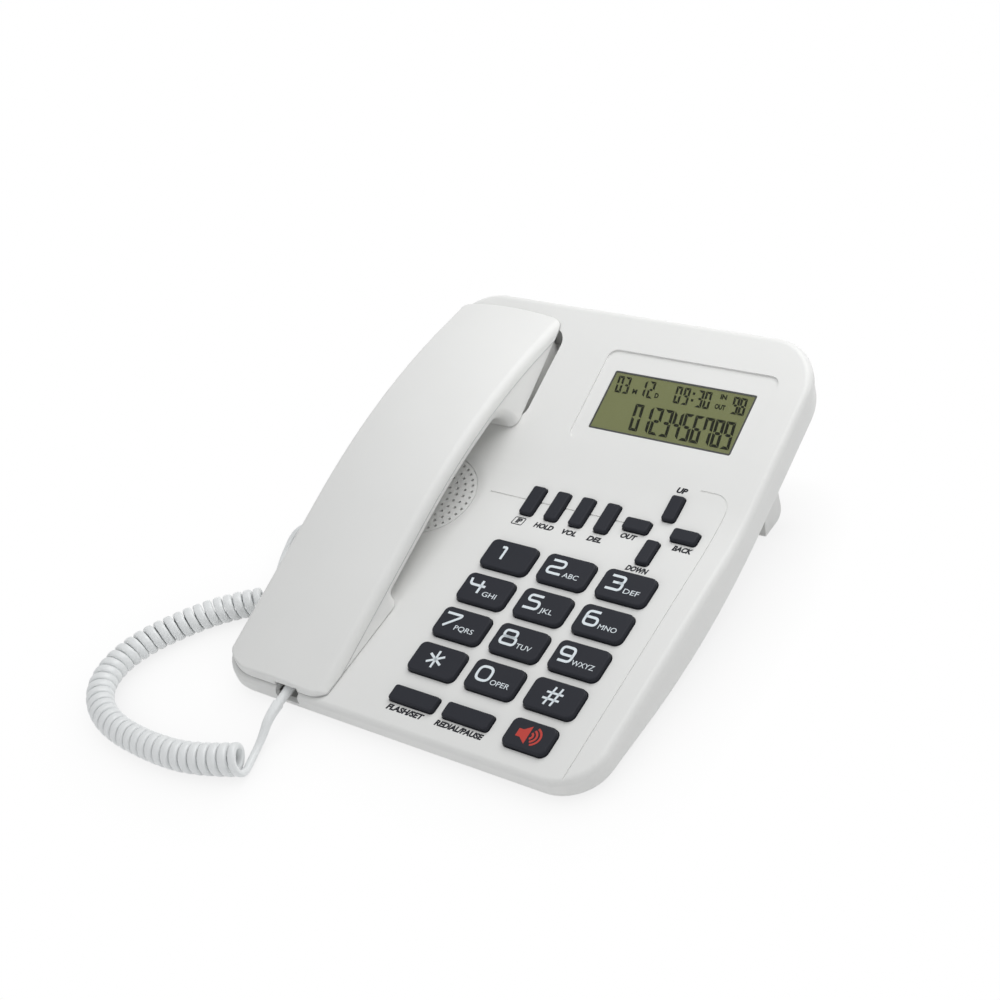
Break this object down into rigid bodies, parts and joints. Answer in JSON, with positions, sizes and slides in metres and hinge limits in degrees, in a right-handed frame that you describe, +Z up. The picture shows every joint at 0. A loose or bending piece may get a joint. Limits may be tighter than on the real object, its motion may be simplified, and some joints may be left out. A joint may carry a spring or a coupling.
{
  "type": "corded desk telephone",
  "caption": "Corded desk telephone with sloping keypad and display base, handset lying on its cradle, curly handset cord and fold-out rear stand.",
  "frame": {"origin": "middle of the base's plan, on the table", "axes": "+X to the user's right, +Y to the back of the base, +Z up"},
  "size_m": [0.215, 0.226, 0.052],
  "materials": {
    "shell_white": "satin",
    "key_slate": "satin",
    "display_pane": "clear",
    "display_panel": "olive",
    "board_green": "satin",
    "rubber_grey": "matte",
    "dark_plastic": "matte",
    "steel": "brushed",
    "cord_white": "satin"
  },
  "bodies": {
    "base": {"base_top_shell": "shell_white", "base_bottom_shell": "shell_white", "lcd_window": "display_pane", "lcd_module": "display_panel", "main_board": "board_green", "keypad_mat": "rubber_grey", "speaker_grille": "shell_white", "loudspeaker": "dark_plastic", "line_jack": "dark_plastic", "base_handset_jack": "dark_plastic", "hook_switch": "dark_plastic", "base_screws": "steel", "rubber_feet": "rubber_grey", "stand_pins": "steel", "plug_base": "cord_white", "cord_lead_base": "cord_white", "cord_coil": "cord_white", "cord_lead_handset": "cord_white"},
    "handset": {"handset_back_shell": "shell_white", "handset_front_shell": "shell_white", "receiver": "dark_plastic", "microphone": "dark_plastic", "handset_jack": "dark_plastic", "handset_weight": "steel", "handset_screws": "steel", "plug_handset": "cord_white"},
    "hook": {"hook_plunger": "shell_white"},
    "stand": {"rear_stand": "shell_white", "stand_pads": "rubber_grey"},
    "key_1": {"key_1": "key_slate"},
    "key_2": {"key_2": "key_slate"},
    "key_3": {"key_3": "key_slate"},
    "key_4": {"key_4": "key_slate"},
    "key_5": {"key_5": "key_slate"},
    "key_6": {"key_6": "key_slate"},
    "key_7": {"key_7": "key_slate"},
    "key_8": {"key_8": "key_slate"},
    "key_9": {"key_9": "key_slate"},
    "key_star": {"key_star": "key_slate"},
    "key_0": {"key_0": "key_slate"},
    "key_hash": {"key_hash": "key_slate"},
    "key_speaker": {"key_speaker": "key_slate"},
    "key_flash": {"key_flash": "key_slate"},
    "key_redial": {"key_redial": "key_slate"},
    "key_ip": {"key_ip": "key_slate"},
    "key_hold": {"key_hold": "key_slate"},
    "key_volume": {"key_volume": "key_slate"},
    "key_delete": {"key_delete": "key_slate"},
    "key_out": {"key_out": "key_slate"},
    "key_back": {"key_back": "key_slate"},
    "key_up": {"key_up": "key_slate"},
    "key_down": {"key_down": "key_slate"}
  },
  "joints": [
    {"name": "handset_lift", "type": "slide", "parent": "base", "child": "handset", "axis": [0, 0, 1], "range_m": [0, 0.06]},
    {"name": "hook_rise", "type": "slide", "parent": "base", "child": "hook", "axis": [0, 0, 1], "range_m": [0, 0.003]},
    {"name": "stand_fold", "type": "hinge", "parent": "base", "child": "stand", "pos_m": [0, 0.05, 0.01741], "axis": [1, 0, 0], "range_deg": [0, 100]},
    {"name": "key_1_press", "type": "slide", "parent": "base", "child": "key_1", "axis": [0, -0.1392, 0.9903], "range_m": [-0.001, 0], "stiffness_N_per_m": 300, "springref_m": 0.0005},
    {"name": "key_2_press", "type": "slide", "parent": "base", "child": "key_2", "axis": [0, -0.1392, 0.9903], "range_m": [-0.001, 0], "stiffness_N_per_m": 300, "springref_m": 0.0005},
    {"name": "key_3_press", "type": "slide", "parent": "base", "child": "key_3", "axis": [0, -0.1392, 0.9903], "range_m": [-0.001, 0], "stiffness_N_per_m": 300, "springref_m": 0.0005},
    {"name": "key_4_press", "type": "slide", "parent": "base", "child": "key_4", "axis": [0, -0.1392, 0.9903], "range_m": [-0.001, 0], "stiffness_N_per_m": 300, "springref_m": 0.0005},
    {"name": "key_5_press", "type": "slide", "parent": "base", "child": "key_5", "axis": [0, -0.1392, 0.9903], "range_m": [-0.001, 0], "stiffness_N_per_m": 300, "springref_m": 0.0005},
    {"name": "key_6_press", "type": "slide", "parent": "base", "child": "key_6", "axis": [0, -0.1392, 0.9903], "range_m": [-0.001, 0], "stiffness_N_per_m": 300, "springref_m": 0.0005},
    {"name": "key_7_press", "type": "slide", "parent": "base", "child": "key_7", "axis": [0, -0.1392, 0.9903], "range_m": [-0.001, 0], "stiffness_N_per_m": 300, "springref_m": 0.0005},
    {"name": "key_8_press", "type": "slide", "parent": "base", "child": "key_8", "axis": [0, -0.1392, 0.9903], "range_m": [-0.001, 0], "stiffness_N_per_m": 300, "springref_m": 0.0005},
    {"name": "key_9_press", "type": "slide", "parent": "base", "child": "key_9", "axis": [0, -0.1392, 0.9903], "range_m": [-0.001, 0], "stiffness_N_per_m": 300, "springref_m": 0.0005},
    {"name": "key_star_press", "type": "slide", "parent": "base", "child": "key_star", "axis": [0, -0.1392, 0.9903], "range_m": [-0.001, 0], "stiffness_N_per_m": 300, "springref_m": 0.0005},
    {"name": "key_0_press", "type": "slide", "parent": "base", "child": "key_0", "axis": [0, -0.1392, 0.9903], "range_m": [-0.001, 0], "stiffness_N_per_m": 300, "springref_m": 0.0005},
    {"name": "key_hash_press", "type": "slide", "parent": "base", "child": "key_hash", "axis": [0, -0.1392, 0.9903], "range_m": [-0.001, 0], "stiffness_N_per_m": 300, "springref_m": 0.0005},
    {"name": "key_speaker_press", "type": "slide", "parent": "base", "child": "key_speaker", "axis": [0, -0.1392, 0.9903], "range_m": [-0.001, 0], "stiffness_N_per_m": 300, "springref_m": 0.0005},
    {"name": "key_flash_press", "type": "slide", "parent": "base", "child": "key_flash", "axis": [0, -0.1392, 0.9903], "range_m": [-0.001, 0], "stiffness_N_per_m": 300, "springref_m": 0.0005},
    {"name": "key_redial_press", "type": "slide", "parent": "base", "child": "key_redial", "axis": [0, -0.1392, 0.9903], "range_m": [-0.001, 0], "stiffness_N_per_m": 300, "springref_m": 0.0005},
    {"name": "key_ip_press", "type": "slide", "parent": "base", "child": "key_ip", "axis": [0, -0.1864, 0.9825], "range_m": [-0.001, 0], "stiffness_N_per_m": 300, "springref_m": 0.0005},
    {"name": "key_hold_press", "type": "slide", "parent": "base", "child": "key_hold", "axis": [0, -0.1864, 0.9825], "range_m": [-0.001, 0], "stiffness_N_per_m": 300, "springref_m": 0.0005},
    {"name": "key_volume_press", "type": "slide", "parent": "base", "child": "key_volume", "axis": [0, -0.1864, 0.9825], "range_m": [-0.001, 0], "stiffness_N_per_m": 300, "springref_m": 0.0005},
    {"name": "key_delete_press", "type": "slide", "parent": "base", "child": "key_delete", "axis": [0, -0.1864, 0.9825], "range_m": [-0.001, 0], "stiffness_N_per_m": 300, "springref_m": 0.0005},
    {"name": "key_out_press", "type": "slide", "parent": "base", "child": "key_out", "axis": [0, -0.1864, 0.9825], "range_m": [-0.001, 0], "stiffness_N_per_m": 300, "springref_m": 0.0005},
    {"name": "key_back_press", "type": "slide", "parent": "base", "child": "key_back", "axis": [0, -0.1864, 0.9825], "range_m": [-0.001, 0], "stiffness_N_per_m": 300, "springref_m": 0.0005},
    {"name": "key_up_press", "type": "slide", "parent": "base", "child": "key_up", "axis": [0, -0.274, 0.9617], "range_m": [-0.001, 0], "stiffness_N_per_m": 300, "springref_m": 0.0005},
    {"name": "key_down_press", "type": "slide", "parent": "base", "child": "key_down", "axis": [0, -0.1392, 0.9903], "range_m": [-0.001, 0], "stiffness_N_per_m": 300, "springref_m": 0.0005}
  ],
  "couplings": [
    {"joint": "hook_rise", "follows": "handset_lift", "ratio": 0.05}
  ]
}
